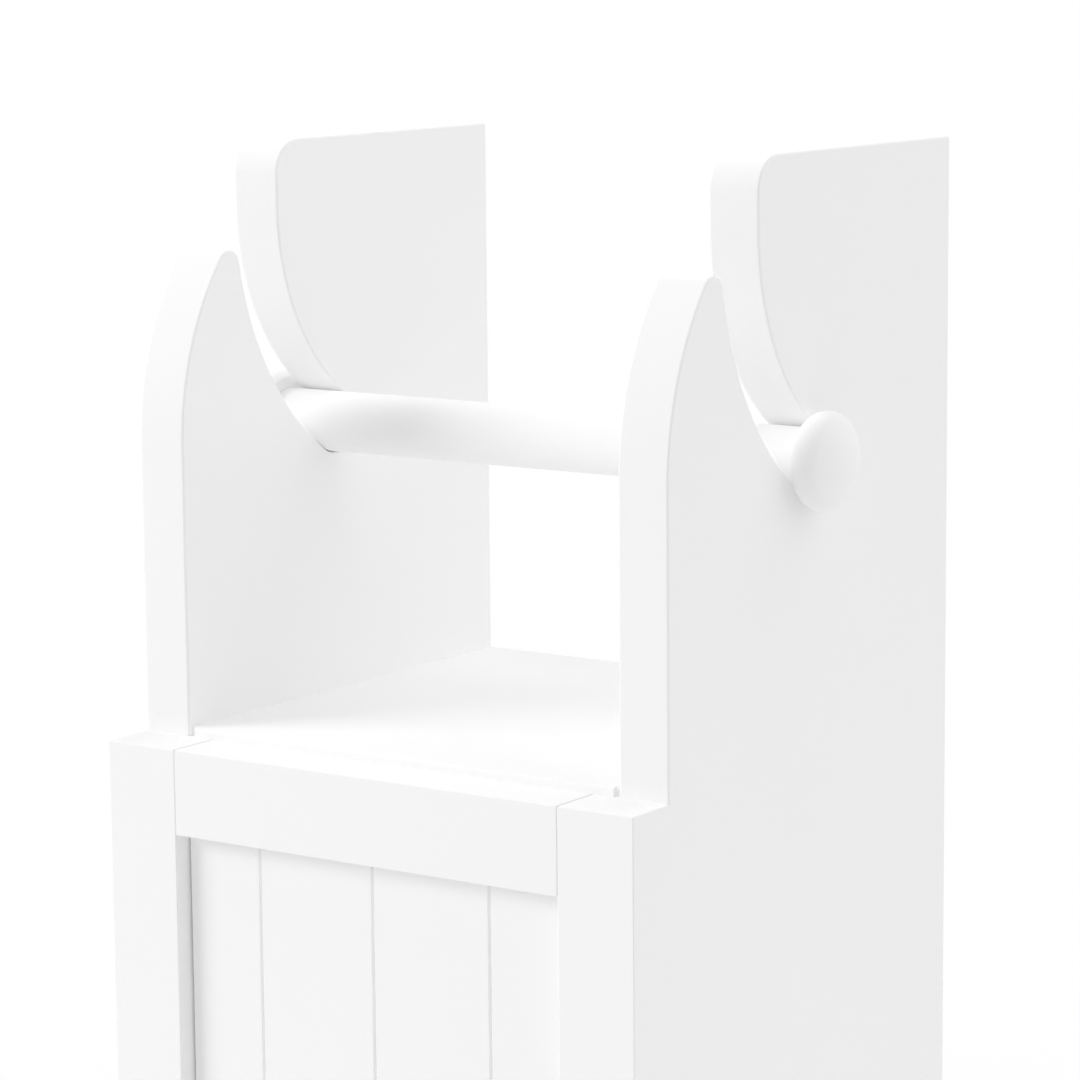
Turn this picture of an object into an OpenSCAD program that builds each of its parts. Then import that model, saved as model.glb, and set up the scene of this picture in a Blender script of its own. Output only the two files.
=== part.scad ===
// Toilet roll storage cabinet: a tall, narrow, painted cupboard with an open top.
// The two side panels run on above the cupboard and are shaped into a horn and a
// back wing, with a curved slot between them. A wooden roller drops into the slots
// and carries the roll in use; the spare rolls stand in the cupboard behind the door.
// Millimetres. +Z is up, the door faces -Y and +X is to the right, seen from the front.
// The origin is on the floor, in the middle of the whole cabinet's width and depth.

/* [Cabinet] */
// Width over the two side panels
body_w = 200; // [196:1:220]
// Depth from the front of the face frame to the back edges
body_d = 185; // [182:1:196]
// Height of the top of the face frame above the floor
rail_top = 463; // [360:1:520]
// Height of the back wings above the face frame
wing_rise = 187; // [185:1:192]

/* [Boards] */
// Thickness of the side panels
side_t = 17.5; // [17:0.5:18]
// Thickness of the stiles and rails of the face frame
frame_t = 19; // [18:0.5:20]
// Width of each stile
stile_w = 27; // [26:0.5:28]
// Height of the top and bottom rails
rail_h = 27.5; // [26:0.5:28]
// Height of the bottom rail above the floor
rail_lift = 10; // [6:1:14]
// Thickness of the shelf and the bottom board
board_t = 17.5; // [17:0.5:18]
// Height of the shelf's top above the face frame
shelf_proud = 2.8; // [2:0.1:3]
// Thickness of the hardboard back
back_t = 3; // [2.5:0.5:3]
// Height of the plastic glides under the boards
glide_h = 3; // [2:0.5:4]

/* [Shaped top] */
// Radius of the curve up the front of the horn
brow_r = 92.1; // [90:0.1:94]
// Height above the face frame where that curve starts
brow_rise = 92.75; // [90:0.25:95]
// Centre of the curved slot, back from the face frame's front
slot_back = 145.5; // [144:0.5:147]
// Centre of the curved slot, up from the face frame's top
slot_rise = 165.5; // [164:0.5:167]
// Radius of the slot's middle line
slot_r = 87; // [86.5:0.1:87.5]
// Angle from the slot's level mouth round to its seat
slot_turn = 56.8; // [56:0.1:57.5]
// Width of the slot
slot_w = 20.8; // [20.6:0.1:21]
// Radius of the horn's rounded tip
tip_r = 5.3; // [4.5:0.1:5.5]
// Radius of the wing's rounded front corner
wing_corner_r = 11; // [8:1:13]

/* [Door] */
// Thickness of the door
door_t = 15; // [14:0.5:16]
// Depth of the door's face behind the face frame's front
door_recess = 6; // [6:0.5:7]
// Gap round the door
door_gap = 1.4; // [1.2:0.1:1.6]
// Gap in front of the door's free edge, which is bevelled
free_gap = 0.7; // [0.6:0.1:1]
// Distance between the grooves in the door's face
groove_pitch = 44; // [42:0.5:46]
// Width of each groove
groove_w = 1; // [0.8:0.1:2]
// Depth of each groove
groove_d = 1.3; // [1:0.1:3]
// Radius of the door knob
knob_r = 14.5; // [12:0.5:16]
// Height of the door knob above the floor
knob_z = 300; // [220:1:330]

/* [Roller] */
// Radius of the roller's bar
bar_r = 10; // [9.8:0.1:10]
// Radius of the knobs on its ends
cap_r = 15.5; // [14:0.1:16.5]
// Thickness of those knobs
cap_t = 12; // [11:0.1:13]
// Gap between each knob and the side panel
cap_gap = 2; // [1.5:0.1:3]

/* [Hidden] */
$fn = 96;

paint = [0.96, 0.96, 0.95];
wood = [0.82, 0.68, 0.48];
steel = [0.72, 0.73, 0.75];
dark_steel = [0.35, 0.35, 0.37];
plastic = [0.9, 0.9, 0.88];
hardboard = [0.93, 0.93, 0.91];

eps = 0.01;      // how far a cut runs past a face
fit = 0.03;      // radial clearance of pieces that stay put
over = 0.04;     // how far a rounding circle runs past tangent, so that it crosses cleanly

// Overall places
half_w = body_w / 2;
inner_x = half_w - side_t;
knob_len = 24;
front_y = (knob_len - door_recess - body_d) / 2;
top_z = rail_top + wing_rise;
shelf_top = rail_top + shelf_proud;
shelf_z = shelf_top - board_t;
floor_top = rail_lift + rail_h;
floor_z = floor_top - board_t;
stile_x = half_w - stile_w;

// Back panel in its rebates
rebate_d = back_t + 0.2;
rebate_w = 9;
rebate_top = shelf_top - 5;
back_z = glide_h + 4;
back_screw_l = 12;
back_screw_z = [40, 145, 250, 355, 440];
back_screw_x = inner_x + rebate_w / 2;

// Joinery
dowel_r = 4;
dowel_side = 11;
dowel_board = 19;
dowel_y = [46, 150];
cam_y = 98;
cam_in = 24;
cam_r = 7.4;
cam_h = 12.2;
bolt_r = 2.5;
bolt_side = 11;
bolt_head_r = 3.2;
bolt_neck_r = 2.2;
thin_dowel_r = 3;
thin_dowel_l = 30;
thin_dowel_in = 12;
stile_dowel_z = [60, 180, 300, 420];
board_levels = [shelf_z + board_t / 2, floor_z + board_t / 2];

// Glides
glide_r = 8;
glide_nail_r = 1.2;
glide_nail_l = 12;
glide_y = [30, 165];

// Slot, horn and roller, measured back from the frame's front and up from the floor
slot_c = [slot_back, rail_top + slot_rise];
brow_c = [frame_t + brow_r, rail_top + brow_rise];
horn_r = slot_r + slot_w / 2;
wing_r = slot_r - slot_w / 2;
seat = slot_c + slot_r * [cos(180 + slot_turn), sin(180 + slot_turn)];
tip_c = horn_tip_centre();
bar_half = half_w + cap_gap;

// The rounded shoulder of the roller's knobs, and its height above their flat backs
shoulder_r = 5.5;
shoulder_h = 4;

// Dowel screws that hold the roller's knobs on
cap_screw_r = 2.5;
cap_screw_bar = 22;
cap_screw_cap = 6.5;

// Door
door_x = stile_x - door_gap;
door_z = floor_top + door_gap;
door_top = rail_top - rail_h - door_gap;
door_back = door_recess + door_t;
free_gap_back = 1.5;
knob_x = -(door_x - 24);
knob_screw_r = 2;

// Butt hinges, on the right
hinge_l = 40;
hinge_inset = 85;
hinge_z = [door_top - hinge_inset, door_z + hinge_inset];
leaf_t = 0.8;
leaf_back = 16;
leaf_start = 0.3;
knuckle_r = 2.4;
pin_r = 1.15;
pin_fit = 0.05;
axis_x = stile_x - knuckle_r - 0.1;
axis_y = door_recess - knuckle_r - 0.2;
knuckle_l = (hinge_l - 0.6) / 3;
leaf_screw_y = 11.5;
leaf_screw_z = [-13, 13];
leaf_screw_r = 1.4;
leaf_screw_head_r = 2.5;
leaf_screw_head_h = 1.1;
leaf_screw_l = 12;

// Magnetic catch, inside at the top left
catch_z = 396;
catch_w = 20;
catch_d = 15;
catch_h = 38;
strike_t = 1;
catch_y = door_back + strike_t + 0.6;
pole_proud = 0.4;
pole_w = 7;
pole_t = 2;
pole_gap = 8;
pole_d = 9;
pole_x = -(inner_x - catch_w) - 1 - pole_w;
catch_screw_z = [-14, 14];
catch_screw_r = 1.5;
catch_screw_head_r = 2.8;
catch_screw_seat = 7;
catch_screw_l = 17;
strike_w = 8;
strike_h = 30;

// The centre of the horn's rounded tip: it touches the brow curve from inside
// and the slot's front edge from outside.
function horn_tip_centre() =
    let (
        r1 = brow_r - tip_r,
        r2 = horn_r + tip_r,
        span = slot_c - brow_c,
        d = norm(span),
        u = span / d,
        a = (r1 * r1 - r2 * r2 + d * d) / (2 * d),
        h = sqrt(r1 * r1 - a * a)
    )
    brow_c + a * u + h * [-u[1], u[0]];

function unit(v) = v / norm(v);

// A cylinder along X from x0 to x1, at depth d behind the frame's front
module rod_x(x0, x1, d, z, r) {
    translate([min(x0, x1), front_y + d, z])
        rotate([0, 90, 0])
            cylinder(r = r, h = abs(x1 - x0));
}

// A cylinder along Y from depth d0 to d1
module rod_y(x, d0, d1, z, r) {
    translate([x, front_y + min(d0, d1), z])
        rotate([-90, 0, 0])
            cylinder(r = r, h = abs(d1 - d0));
}

// A box from one corner to the other, with depths counted from the frame's front
module slab(x0, x1, d0, d1, z0, z1) {
    translate([x0, front_y + d0, z0])
        cube([x1 - x0, d1 - d0, z1 - z0]);
}

// A countersunk screw along +Z, its head's face at 0 and its point at -l
module countersunk(r, head_r, head_h, l) {
    translate([0, 0, -head_h])
        cylinder(r1 = r, r2 = head_r, h = head_h);
    translate([0, 0, -l])
        cylinder(r = r, h = l - head_h + eps);
}

// The outline of a side panel: depth across, height up
module side_outline() {
    far = brow_r + slot_r;
    touch_brow = brow_c + brow_r * unit(tip_c - brow_c);
    touch_slot = slot_c + horn_r * unit(tip_c - slot_c);
    difference() {
        translate([frame_t, glide_h])
            square([body_d - frame_t, top_z - glide_h]);
        // everything in front of the brow curve
        difference() {
            translate([frame_t - 1, brow_c[1]])
                square([slot_back - horn_r - frame_t + 2, top_z]);
            translate(brow_c)
                circle(r = brow_r + over);
        }
        // the sliver beyond the rounded tip
        difference() {
            polygon([touch_brow, [touch_brow[0], top_z], [touch_slot[0], top_z], touch_slot]);
            translate(tip_c)
                circle(r = tip_r + over);
        }
        // the open mouth above the slot, in front of the wing
        translate([frame_t - 1, slot_c[1] - tip_r])
            square([slot_back - wing_r - frame_t + 1 + over, top_z]);
        // the curved slot
        intersection() {
            translate(slot_c)
                difference() {
                    circle(r = horn_r);
                    circle(r = wing_r);
                }
            translate(slot_c)
                polygon([
                    [0, 0],
                    [-far, 0],
                    far * [-cos(slot_turn / 2), -sin(slot_turn / 2)],
                    far * [-cos(slot_turn), -sin(slot_turn)]
                ]);
        }
        // the round seat at its end
        translate(seat)
            circle(r = slot_w / 2 + over);
        // the wing's rounded corner
        translate([slot_back - wing_r, top_z - wing_corner_r])
            difference() {
                translate([-1, 0])
                    square([wing_corner_r + 1, wing_corner_r + 1]);
                translate([wing_corner_r, 0])
                    circle(r = wing_corner_r + over);
            }
    }
}

// The right-hand side panel with its holes and the rebate for the back
module side_panel() {
    difference() {
        translate([inner_x, front_y, 0])
            rotate([90, 0, 90])
                linear_extrude(side_t)
                    side_outline();
        slab(inner_x - 1, inner_x + rebate_w, body_d - rebate_d, body_d + 1, glide_h - 1, rebate_top);
        for (z = board_levels) {
            for (d = dowel_y)
                rod_x(inner_x - 1, inner_x + dowel_side + 0.5, d, z, dowel_r + fit);
            rod_x(inner_x - 1, inner_x + bolt_side + 0.5, cam_y, z, bolt_r + fit);
        }
        for (z = stile_dowel_z)
            rod_y(inner_x + side_t / 2, frame_t - 1, frame_t + thin_dowel_l - thin_dowel_in + 0.5,
                  z, thin_dowel_r + fit);
        for (z = back_screw_z)
            rod_y(back_screw_x, body_d - back_screw_l - 0.5, body_d, z, 1.5 + fit);
        for (d = glide_y)
            translate([inner_x + side_t / 2, front_y + d, 0])
                cylinder(r = glide_nail_r + fit, h = glide_h + glide_nail_l + 0.5);
    }
}

module right_side_panel() {
    color(paint)
        side_panel();
}

module left_side_panel() {
    color(paint)
        difference() {
            mirror([1, 0, 0])
                side_panel();
            for (dz = catch_screw_z)
                rod_x(-inner_x - catch_screw_l + catch_screw_seat - 0.5, -inner_x + 1,
                      catch_y + catch_d / 2, catch_z + dz, catch_screw_r + fit);
        }
}

// One stile of the face frame, drawn for the right
module stile() {
    difference() {
        slab(stile_x, half_w, 0, frame_t, glide_h, rail_top);
        for (z = stile_dowel_z)
            rod_y(inner_x + side_t / 2, frame_t - thin_dowel_in - 0.5, frame_t + 1,
                  z, thin_dowel_r + fit);
        for (z = [rail_top - rail_h / 2, rail_lift + rail_h / 2])
            rod_x(stile_x - 1, stile_x + thin_dowel_in + 0.5, frame_t / 2, z, thin_dowel_r + fit);
    }
}

module right_stile() {
    color(paint)
        difference() {
            stile();
            at_leaf_screws(stile_x - leaf_t)
                rotate([0, -90, 0])
                    countersunk(leaf_screw_r + fit, leaf_screw_head_r, leaf_screw_head_h,
                                leaf_screw_l + 0.5);
        }
}

module left_stile() {
    color(paint)
        mirror([1, 0, 0])
            stile();
}

// A rail between the stiles, its lower edge at z
module rail(z) {
    hole_l = thin_dowel_l - thin_dowel_in + 0.5;
    difference() {
        slab(-stile_x, stile_x, 0, frame_t, z, z + rail_h);
        for (side = [-1, 1])
            rod_x(side * (stile_x - hole_l), side * (stile_x + 1), frame_t / 2, z + rail_h / 2,
                  thin_dowel_r + fit);
    }
}

module top_rail() {
    color(paint)
        rail(rail_top - rail_h);
}

module bottom_rail() {
    color(paint)
        rail(rail_lift);
}

// A board between the side panels, with its dowel and cam holes; underside at z
module board(z, d1) {
    mid = z + board_t / 2;
    difference() {
        slab(-inner_x, inner_x, frame_t, d1, z, z + board_t);
        for (side = [-1, 1]) {
            for (d = dowel_y)
                rod_x(side * (inner_x - dowel_board - 0.5), side * (inner_x + 1), d, mid,
                      dowel_r + fit);
            rod_x(side * (inner_x - cam_in), side * (inner_x + 1), cam_y, mid, bolt_head_r + 0.3);
            translate([side * (inner_x - cam_in), front_y + cam_y, z - 1])
                cylinder(r = cam_r + 0.1, h = cam_h + 1.2);
        }
    }
}

// The shelf stands a little above the face frame, with its front edge eased
module shelf_board() {
    ease = 1.2;
    nick = 2.2;
    nick_d = 1.5;
    color(paint)
        difference() {
            board(shelf_z, body_d);
            // rebate under the back edge, for the back panel
            slab(-half_w, half_w, body_d - rebate_d, body_d + 1, shelf_z - 1, rebate_top);
            // eased front edge
            translate([-half_w, front_y + frame_t, shelf_top])
                rotate([45, 0, 0])
                    translate([0, -ease / sqrt(2), -ease / sqrt(2)])
                        cube([body_w, ease * sqrt(2), ease * sqrt(2)]);
            // small nicks at the front corners, beside the side panels
            for (side = [-1, 1])
                slab(side * inner_x - (side > 0 ? nick : 1), side * inner_x + (side > 0 ? 1 : nick),
                     frame_t - 1, frame_t + nick_d, rail_top, shelf_top + 1);
            for (x = [-40, 40])
                rod_y(x, body_d - back_screw_l - 0.5, body_d, shelf_z + board_t / 3, 1.5 + fit);
        }
}

module bottom_board() {
    color(paint)
        difference() {
            board(floor_z, body_d - rebate_d);
            for (x = [-40, 40])
                rod_y(x, body_d - back_screw_l - 0.5, body_d, floor_z + board_t / 2, 1.5 + fit);
        }
}

// Where the back panel's screws are, with their heads facing back
module at_back_screws() {
    for (side = [-1, 1])
        for (z = back_screw_z)
            translate([side * back_screw_x, front_y + body_d - 0.2, z])
                rotate([-90, 0, 0])
                    children();
    for (x = [-40, 40])
        for (z = [shelf_z + board_t / 3, floor_z + board_t / 2])
            translate([x, front_y + body_d - 0.2, z])
                rotate([-90, 0, 0])
                    children();
}

module back_panel() {
    reach = inner_x + rebate_w - 0.2;
    color(hardboard)
        difference() {
            slab(-reach, reach, body_d - rebate_d, body_d - 0.2, back_z, rebate_top - 0.2);
            at_back_screws()
                countersunk(1.5 + fit, 3 + fit, 1.5, back_screw_l + 1);
        }
}

module back_panel_screws() {
    color(steel)
        at_back_screws()
            difference() {
                countersunk(1.5, 3, 1.5, back_screw_l);
                cube([0.6, 3, 1.2], center = true);
                cube([3, 0.6, 1.2], center = true);
            }
}

// The dowels that locate the shelf and the bottom board in the side panels
module board_dowels() {
    color(wood)
        for (side = [-1, 1])
            for (z = board_levels)
                for (d = dowel_y)
                    rod_x(side * (inner_x - dowel_board), side * (inner_x + dowel_side), d, z, dowel_r);
}

// The dowels between the stiles and the front edges of the side panels
module stile_dowels() {
    color(wood)
        for (side = [-1, 1])
            for (z = stile_dowel_z)
                rod_y(side * (inner_x + side_t / 2), frame_t - thin_dowel_in,
                      frame_t + thin_dowel_l - thin_dowel_in, z, thin_dowel_r);
}

// The dowels between the rails' ends and the stiles
module rail_dowels() {
    color(wood)
        for (side = [-1, 1])
            for (z = [rail_top - rail_h / 2, rail_lift + rail_h / 2])
                rod_x(side * (stile_x - thin_dowel_l + thin_dowel_in), side * (stile_x + thin_dowel_in),
                      frame_t / 2, z, thin_dowel_r);
}

// Cam bolts: a thread in the side panel, a neck, and a head inside the cam nut
module cam_bolts() {
    head_l = 4;
    color(steel)
        for (side = [-1, 1])
            for (z = board_levels) {
                rod_x(side * inner_x, side * (inner_x + bolt_side), cam_y, z, bolt_r);
                rod_x(side * (inner_x - 2), side * inner_x, cam_y, z, bolt_head_r);
                rod_x(side * (inner_x - cam_in + head_l - eps), side * (inner_x - 2), cam_y, z,
                      bolt_neck_r);
                rod_x(side * (inner_x - cam_in), side * (inner_x - cam_in + head_l), cam_y, z,
                      bolt_head_r);
            }
}

// Cam nuts: round bodies let into the boards from below
module cam_nuts() {
    color(steel)
        for (side = [-1, 1])
            for (z = [shelf_z, floor_z])
                difference() {
                    translate([side * (inner_x - cam_in), front_y + cam_y, z])
                        cylinder(r = cam_r, h = cam_h);
                    rod_x(side * (inner_x - cam_in - 2), side * inner_x, cam_y, z + board_t / 2,
                          bolt_head_r + 0.2);
                    translate([side * (inner_x - cam_in), front_y + cam_y, z]) {
                        cube([1.4, 8, 4], center = true);
                        cube([8, 1.4, 4], center = true);
                    }
                }
}

// Nail-on plastic glides under the side panels
module floor_glides() {
    color(plastic)
        for (side = [-1, 1])
            for (d = glide_y)
                translate([side * (inner_x + side_t / 2), front_y + d, 0]) {
                    cylinder(r1 = glide_r - 0.8, r2 = glide_r, h = 0.8);
                    translate([0, 0, 0.8 - eps])
                        cylinder(r = glide_r, h = glide_h - 0.8 + eps);
                    translate([0, 0, glide_h - eps])
                        cylinder(r = glide_nail_r, h = glide_nail_l + eps);
                }
}

// Where the hinge leaves' screws are on a face at x
module at_leaf_screws(x) {
    for (z = hinge_z)
        for (dz = leaf_screw_z)
            translate([x, front_y + leaf_screw_y, z + dz])
                children();
}

// One knuckle of a hinge, from z0 to z1
module knuckle(z0, z1) {
    translate([axis_x, front_y + axis_y, z0])
        cylinder(r = knuckle_r, h = z1 - z0);
}

module pin_bore(z) {
    translate([axis_x, front_y + axis_y, z - hinge_l / 2 - 1])
        cylinder(r = pin_r + pin_fit, h = hinge_l + 2);
}

// The leaves screwed to the right stile, with the outer knuckles
module hinge_frame_leaves() {
    color(steel)
        for (z = hinge_z)
            difference() {
                union() {
                    slab(stile_x - leaf_t, stile_x, door_recess + leaf_start, leaf_back,
                         z - hinge_l / 2, z + hinge_l / 2);
                    for (side = [-1, 1]) {
                        z0 = side < 0 ? z - hinge_l / 2 : z + hinge_l / 2 - knuckle_l;
                        knuckle(z0, z0 + knuckle_l);
                        slab(stile_x - leaf_t, stile_x, axis_y, door_recess + leaf_start + eps,
                             z0, z0 + knuckle_l);
                    }
                }
                pin_bore(z);
                at_leaf_screws(stile_x - leaf_t)
                    rotate([0, -90, 0])
                        countersunk(leaf_screw_r + fit, leaf_screw_head_r + fit, leaf_screw_head_h, 5);
            }
}

// The leaves let into the door's edge, with the middle knuckles
module hinge_door_leaves() {
    color(steel)
        for (z = hinge_z)
            difference() {
                union() {
                    slab(door_x - leaf_t, door_x, door_recess, leaf_back,
                         z - hinge_l / 2, z + hinge_l / 2);
                    knuckle(z - knuckle_l / 2, z + knuckle_l / 2);
                    slab(door_x - leaf_t, door_x, axis_y, door_recess + eps,
                         z - knuckle_l / 2, z + knuckle_l / 2);
                }
                pin_bore(z);
                at_leaf_screws(door_x)
                    rotate([0, 90, 0])
                        countersunk(leaf_screw_r + fit, leaf_screw_head_r + fit, leaf_screw_head_h, 5);
            }
}

module hinge_pins() {
    color(steel)
        for (z = hinge_z)
            translate([axis_x, front_y + axis_y, z - hinge_l / 2 - 1]) {
                cylinder(r = pin_r, h = hinge_l + 2);
                cylinder(r = pin_r + 0.7, h = 0.9);
                translate([0, 0, hinge_l + 1.1])
                    cylinder(r = pin_r + 0.7, h = 0.9);
            }
}

module hinge_frame_screws() {
    color(steel)
        at_leaf_screws(stile_x - leaf_t)
            rotate([0, -90, 0])
                countersunk(leaf_screw_r, leaf_screw_head_r, leaf_screw_head_h, leaf_screw_l);
}

module hinge_door_screws() {
    color(steel)
        at_leaf_screws(door_x)
            rotate([0, 90, 0])
                countersunk(leaf_screw_r, leaf_screw_head_r, leaf_screw_head_h, leaf_screw_l);
}

// Magnetic catch: a plastic housing screwed to the left side panel
module catch_housing() {
    x1 = -inner_x + catch_w;
    color(plastic)
        difference() {
            slab(-inner_x, x1, catch_y, catch_y + catch_d, catch_z - catch_h / 2, catch_z + catch_h / 2);
            // pocket for the magnet and its pole plates
            slab(pole_x - 0.2, pole_x + pole_w + 0.2, catch_y - 1, catch_y + pole_d,
                 catch_z - pole_gap / 2 - pole_t - 0.2, catch_z + pole_gap / 2 + pole_t + 0.2);
            for (dz = catch_screw_z) {
                rod_x(-inner_x - 1, x1 + 1, catch_y + catch_d / 2, catch_z + dz, catch_screw_r + fit);
                rod_x(-inner_x + catch_screw_seat, x1 + 1, catch_y + catch_d / 2, catch_z + dz,
                      catch_screw_head_r + 0.3);
            }
        }
}

module catch_magnet() {
    color(dark_steel)
        slab(pole_x, pole_x + pole_w, catch_y + 1, catch_y + pole_d - 0.2,
             catch_z - pole_gap / 2, catch_z + pole_gap / 2);
}

module catch_pole_plates() {
    color(steel)
        for (side = [-1, 1])
            slab(pole_x, pole_x + pole_w, catch_y - pole_proud, catch_y + pole_d - 0.2,
                 catch_z + side * (pole_gap + pole_t) / 2 - pole_t / 2,
                 catch_z + side * (pole_gap + pole_t) / 2 + pole_t / 2);
}

module catch_screws() {
    x0 = -inner_x + catch_screw_seat;
    color(steel)
        for (dz = catch_screw_z) {
            rod_x(x0 - catch_screw_l, x0, catch_y + catch_d / 2, catch_z + dz, catch_screw_r);
            difference() {
                rod_x(x0, x0 + 1.8, catch_y + catch_d / 2, catch_z + dz, catch_screw_head_r);
                slab(x0 + 0.9, x0 + 3, catch_y + catch_d / 2 - 2, catch_y + catch_d / 2 + 2,
                     catch_z + dz - 0.3, catch_z + dz + 0.3);
            }
        }
}

// The door's board. Its free edge, on the left, is bevelled, so that the gap in front is
// narrow and the rear corner still clears the stile as the door swings.
module door_board() {
    translate([0, front_y, door_z])
        linear_extrude(door_top - door_z)
            polygon([
                [free_gap - stile_x, door_recess],
                [door_x, door_recess],
                [door_x, door_back],
                [free_gap_back - stile_x, door_back]
            ]);
}

// The door: one panel with grooves down its face, like boards side by side
module door_panel() {
    color(paint)
        difference() {
            door_board();
            for (i = [-1 : 1])
                slab(i * groove_pitch - groove_w / 2, i * groove_pitch + groove_w / 2,
                     door_recess - 1, door_recess + groove_d, door_z - 1, door_top + 1);
            for (z = hinge_z)
                slab(door_x - leaf_t - fit, door_x + 1, door_recess - 1, leaf_back + 0.1,
                     z - hinge_l / 2 - 0.1, z + hinge_l / 2 + 0.1);
            at_leaf_screws(door_x)
                rotate([0, 90, 0])
                    countersunk(leaf_screw_r + fit, leaf_screw_head_r + fit, leaf_screw_head_h,
                                leaf_screw_l + 0.5);
            rod_y(knob_x, door_recess - 1, door_back + 1, knob_z, knob_screw_r + fit);
            rod_y(strike_screw_x(), door_back - 9, door_back + 1, catch_z, 1.3 + fit);
        }
}

function strike_screw_x() = pole_x + pole_w / 2;

// The steel plate on the back of the door that the magnet holds
module strike_plate() {
    color(steel)
        difference() {
            slab(strike_screw_x() - strike_w / 2, strike_screw_x() + strike_w / 2,
                 door_back, door_back + strike_t, catch_z - strike_h / 2, catch_z + strike_h / 2);
            rod_y(strike_screw_x(), door_back - 1, door_back + strike_t + 1, catch_z, 1.3 + fit);
            translate([strike_screw_x(), front_y + door_back + strike_t, catch_z])
                rotate([-90, 0, 0])
                    countersunk(1.3 + fit, 2.3 + fit, 0.9, 2);
        }
}

module strike_screw() {
    color(steel)
        translate([strike_screw_x(), front_y + door_back + strike_t, catch_z])
            rotate([-90, 0, 0])
                countersunk(1.3, 2.3, 0.9, 9);
}

// The turned door knob, drawn along -Y from the door's face
module door_knob() {
    neck_r = 6;
    color(paint)
        translate([knob_x, front_y + door_recess, knob_z])
            rotate([90, 0, 0])
                difference() {
                    union() {
                        cylinder(r = 9, h = 2);
                        cylinder(r = neck_r, h = 12);
                        translate([0, 0, 8])
                            cylinder(r1 = neck_r, r2 = knob_r, h = 6);
                        translate([0, 0, 14 - eps])
                            cylinder(r = knob_r, h = 3 + eps);
                        translate([0, 0, 17 - eps])
                            intersection() {
                                cylinder(r = knob_r, h = knob_len - 17 + eps);
                                translate([0, 0, knob_len - 17 - knob_dome_r()])
                                    sphere(r = knob_dome_r());
                            }
                    }
                    translate([0, 0, -1])
                        cylinder(r = knob_screw_r + fit, h = 16);
                }
}

// Radius of the shallow dome on the door knob's front
function knob_dome_r() = (knob_r * knob_r + (knob_len - 17) * (knob_len - 17)) / (2 * (knob_len - 17));

module door_knob_screw() {
    color(steel)
        translate([knob_x, front_y + door_back, knob_z])
            rotate([90, 0, 0]) {
                cylinder(r = knob_screw_r, h = door_t + 14);
                translate([0, 0, -2])
                    difference() {
                        cylinder(r = 4, h = 2);
                        cube([1, 6, 2], center = true);
                        cube([6, 1, 2], center = true);
                    }
            }
}

// The roller's plain round bar
module roller_bar() {
    color(paint)
        difference() {
            rod_x(-bar_half, bar_half, seat[0], seat[1], bar_r);
            for (side = [-1, 1])
                rod_x(side * (bar_half - cap_screw_bar - 0.5), side * (bar_half + 1),
                      seat[0], seat[1], cap_screw_r + 0.05);
        }
}

// Half of the roller knob's profile, [radius, height]: a flat back, a round shoulder
// and a flatter dome, whose arcs meet without a corner
function roller_knob_profile() =
    let (
        shoulder = [cap_r - shoulder_r, shoulder_h],
        drop = cap_t - shoulder_h,
        // the dome's circle holds the shoulder's circle and touches it at this radius
        dome_r = (shoulder[0] * shoulder[0] + drop * drop - shoulder_r * shoulder_r)
            / (2 * (drop - shoulder_r)),
        meet = atan2(dome_r - drop, shoulder[0]),
        start = -asin(shoulder_h / shoulder_r),
        shoulder_steps = 16,
        dome_steps = 6
    )
    concat(
        [[0, 0]],
        [for (i = [0 : shoulder_steps]) let (a = start + (meet - start) * i / shoulder_steps)
            shoulder + shoulder_r * [cos(a), sin(a)]],
        [for (i = [1 : dome_steps - 1]) let (a = meet + (90 - meet) * i / dome_steps)
            [0, cap_t - dome_r] + dome_r * [cos(a), sin(a)]],
        [[0, cap_t]]
    );

// The knob for the roller's right end
module roller_knob() {
    translate([bar_half, front_y + seat[0], seat[1]])
        rotate([0, 90, 0])
            difference() {
                rotate_extrude()
                    polygon(roller_knob_profile());
                translate([0, 0, -1])
                    cylinder(r = cap_screw_r + 0.05, h = cap_screw_cap + 1.5);
            }
}

module roller_right_knob() {
    color(paint)
        roller_knob();
}

module roller_left_knob() {
    color(paint)
        mirror([1, 0, 0])
            roller_knob();
}

// The two double-ended screws inside the roller
module roller_dowel_screws() {
    color(steel)
        for (side = [-1, 1])
            rod_x(side * (bar_half - cap_screw_bar), side * (bar_half + cap_screw_cap),
                  seat[0], seat[1], cap_screw_r);
}

left_side_panel();
right_side_panel();
left_stile();
right_stile();
top_rail();
bottom_rail();
shelf_board();
bottom_board();
back_panel();
back_panel_screws();
board_dowels();
stile_dowels();
rail_dowels();
cam_bolts();
cam_nuts();
floor_glides();
hinge_frame_leaves();
hinge_pins();
hinge_frame_screws();
catch_housing();
catch_magnet();
catch_pole_plates();
catch_screws();
door_panel();
hinge_door_leaves();
hinge_door_screws();
strike_plate();
strike_screw();
door_knob();
door_knob_screw();
roller_bar();
roller_left_knob();
roller_right_knob();
roller_dowel_screws();
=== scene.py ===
# %% [markdown]
# # A white cabinet for toilet rolls
#
# The cabinet is a narrow cupboard with an open top. Its two side panels run on above
# the cupboard and are cut to a horn and a wing with a curved slot between them, and a
# turned roller drops into the slots. This lesson makes its boards, its turned pieces
# and its paint, and puts them round the engineering model, which is loaded first.
#
# The engineering model gives every place and size. Its objects stay where they are.
# A board that needs softer edges is made again here and stands for the original, and
# the small fittings keep their shape and only get a finish.

import math

import bmesh
import bpy
from mathutils import Matrix, Vector


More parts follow.
